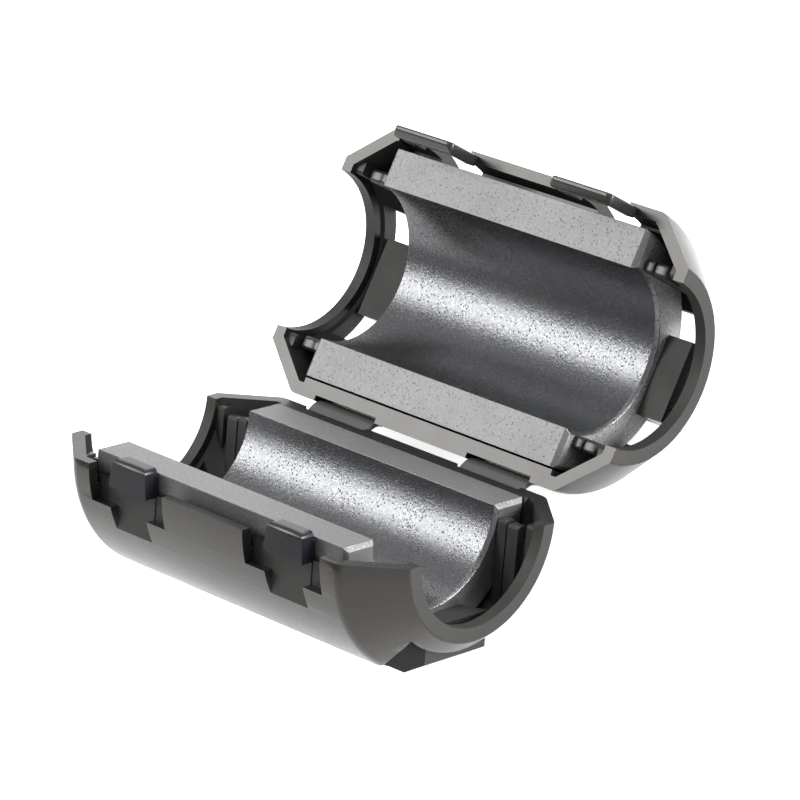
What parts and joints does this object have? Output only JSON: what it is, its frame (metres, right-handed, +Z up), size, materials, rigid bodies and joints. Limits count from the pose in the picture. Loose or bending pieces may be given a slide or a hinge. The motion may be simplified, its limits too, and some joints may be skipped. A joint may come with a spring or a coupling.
{
  "type": "clip-on ferrite bead",
  "caption": "Hinged plastic case that clips round a cable, with half of a ferrite sleeve held in each half and sprung catch loops on the cover.",
  "frame": {"origin": "on the surface the opened case stands on, below the hinge line and midway along it", "axes": "+X along the cable and the hinge line, +Y from the base towards the cover, +Z up"},
  "size_m": [0.037, 0.0442, 0.0209],
  "materials": {
    "black_nylon": "moulded black nylon with a soft sheen",
    "ferrite": "sintered ferrite, ground on the two mating faces and fine-grained in the bore"
  },
  "bodies": {
    "base": {"base_shell": "black_nylon", "base_core": "ferrite", "hinge_strap_left": "black_nylon", "hinge_strap_right": "black_nylon"},
    "cover": {"cover_shell": "black_nylon", "cover_core": "ferrite"},
    "catch_loop_left": {"catch_loop_left": "black_nylon"},
    "catch_loop_right": {"catch_loop_right": "black_nylon"}
  },
  "joints": [
    {"name": "case_hinge", "type": "hinge", "parent": "base", "child": "cover", "pos_m": [0, 0, 0.00537], "axis": [1, 0, 0], "range_deg": [-63.5, 116.5], "stiffness_Nm_per_rad": 0.02, "deforming": ["hinge_strap_left", "hinge_strap_right"]},
    {"name": "catch_loop_left_flex", "type": "hinge", "parent": "cover", "child": "catch_loop_left", "pos_m": [-0.0085, 0.02019, 0.01756], "axis": [-1, 0, 0], "range_deg": [0, 16], "stiffness_Nm_per_rad": 0.03},
    {"name": "catch_loop_right_flex", "type": "hinge", "parent": "cover", "child": "catch_loop_right", "pos_m": [0.0085, 0.02019, 0.01756], "axis": [-1, 0, 0], "range_deg": [0, 16], "stiffness_Nm_per_rad": 0.03}
  ]
}
